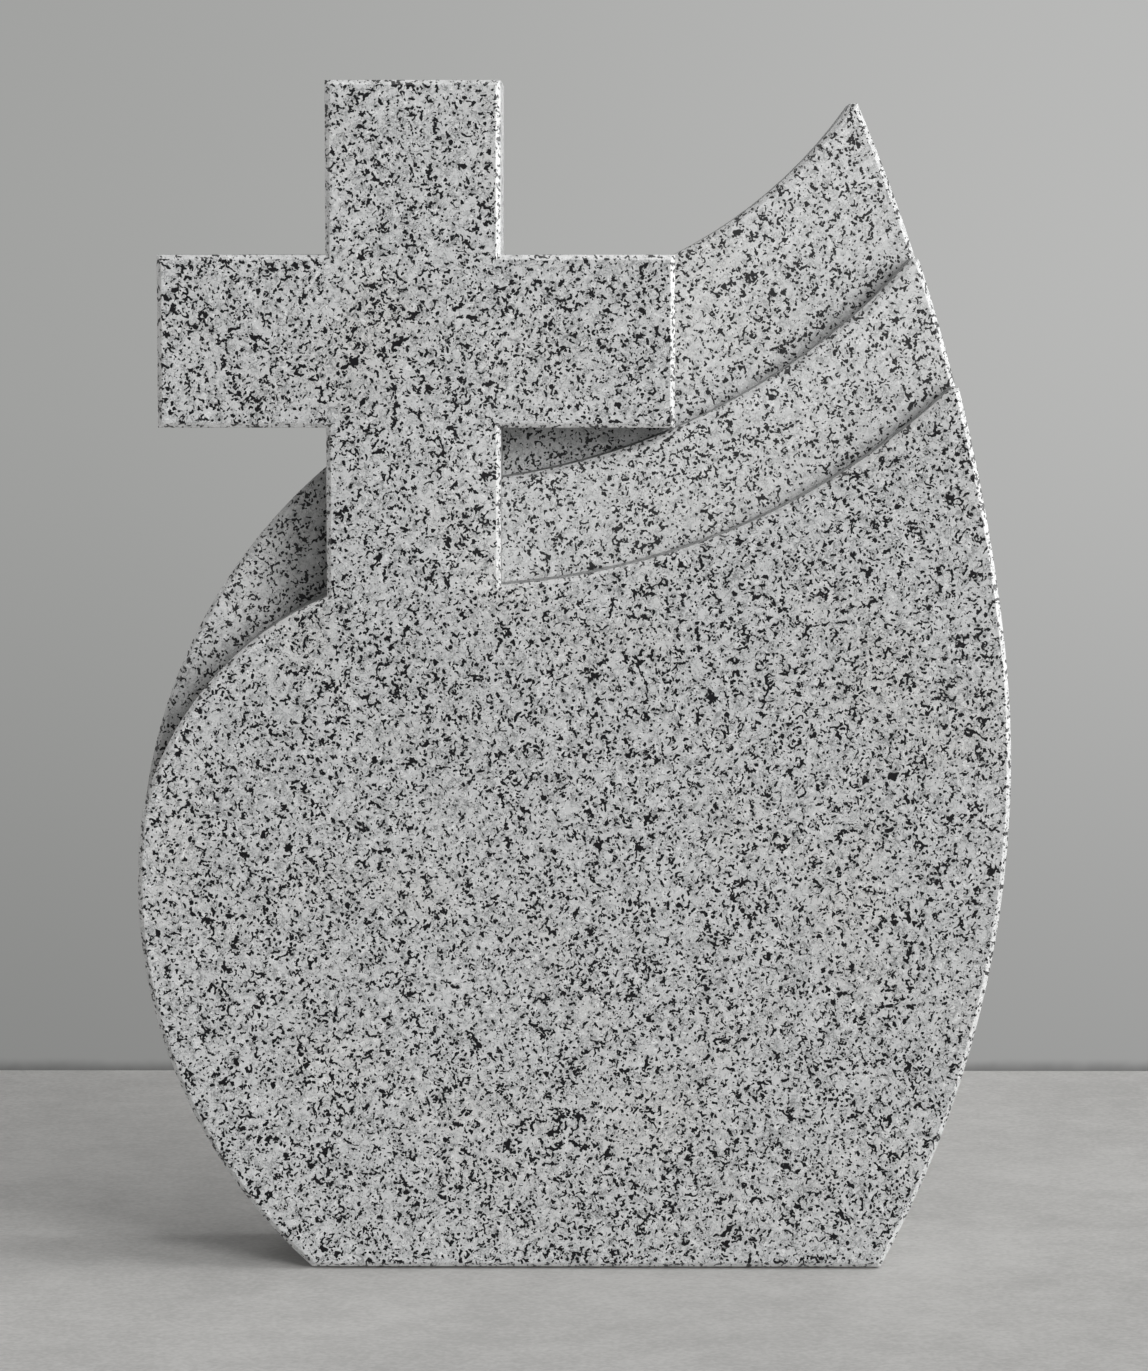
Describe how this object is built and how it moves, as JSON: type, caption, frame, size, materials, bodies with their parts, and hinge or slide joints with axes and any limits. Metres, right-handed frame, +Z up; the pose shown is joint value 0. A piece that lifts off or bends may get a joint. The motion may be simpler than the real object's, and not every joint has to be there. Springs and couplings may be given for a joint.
{
  "type": "cross headstone",
  "caption": "Upright stone memorial: a Latin cross and a broad rounded body in one block, with a wing stepped back in bands on the right and a narrow crescent on the left.",
  "frame": {"origin": "centre of the outline's footprint, on the plane of the underside", "axes": "+Z up, +X to the right as seen from the front, +Y from the front face to the back"},
  "size_m": [0.7399, 0.15, 1],
  "materials": {
    "granite": "satin"
  },
  "bodies": {
    "root": {"headstone": "granite"}
  },
  "joints": []
}
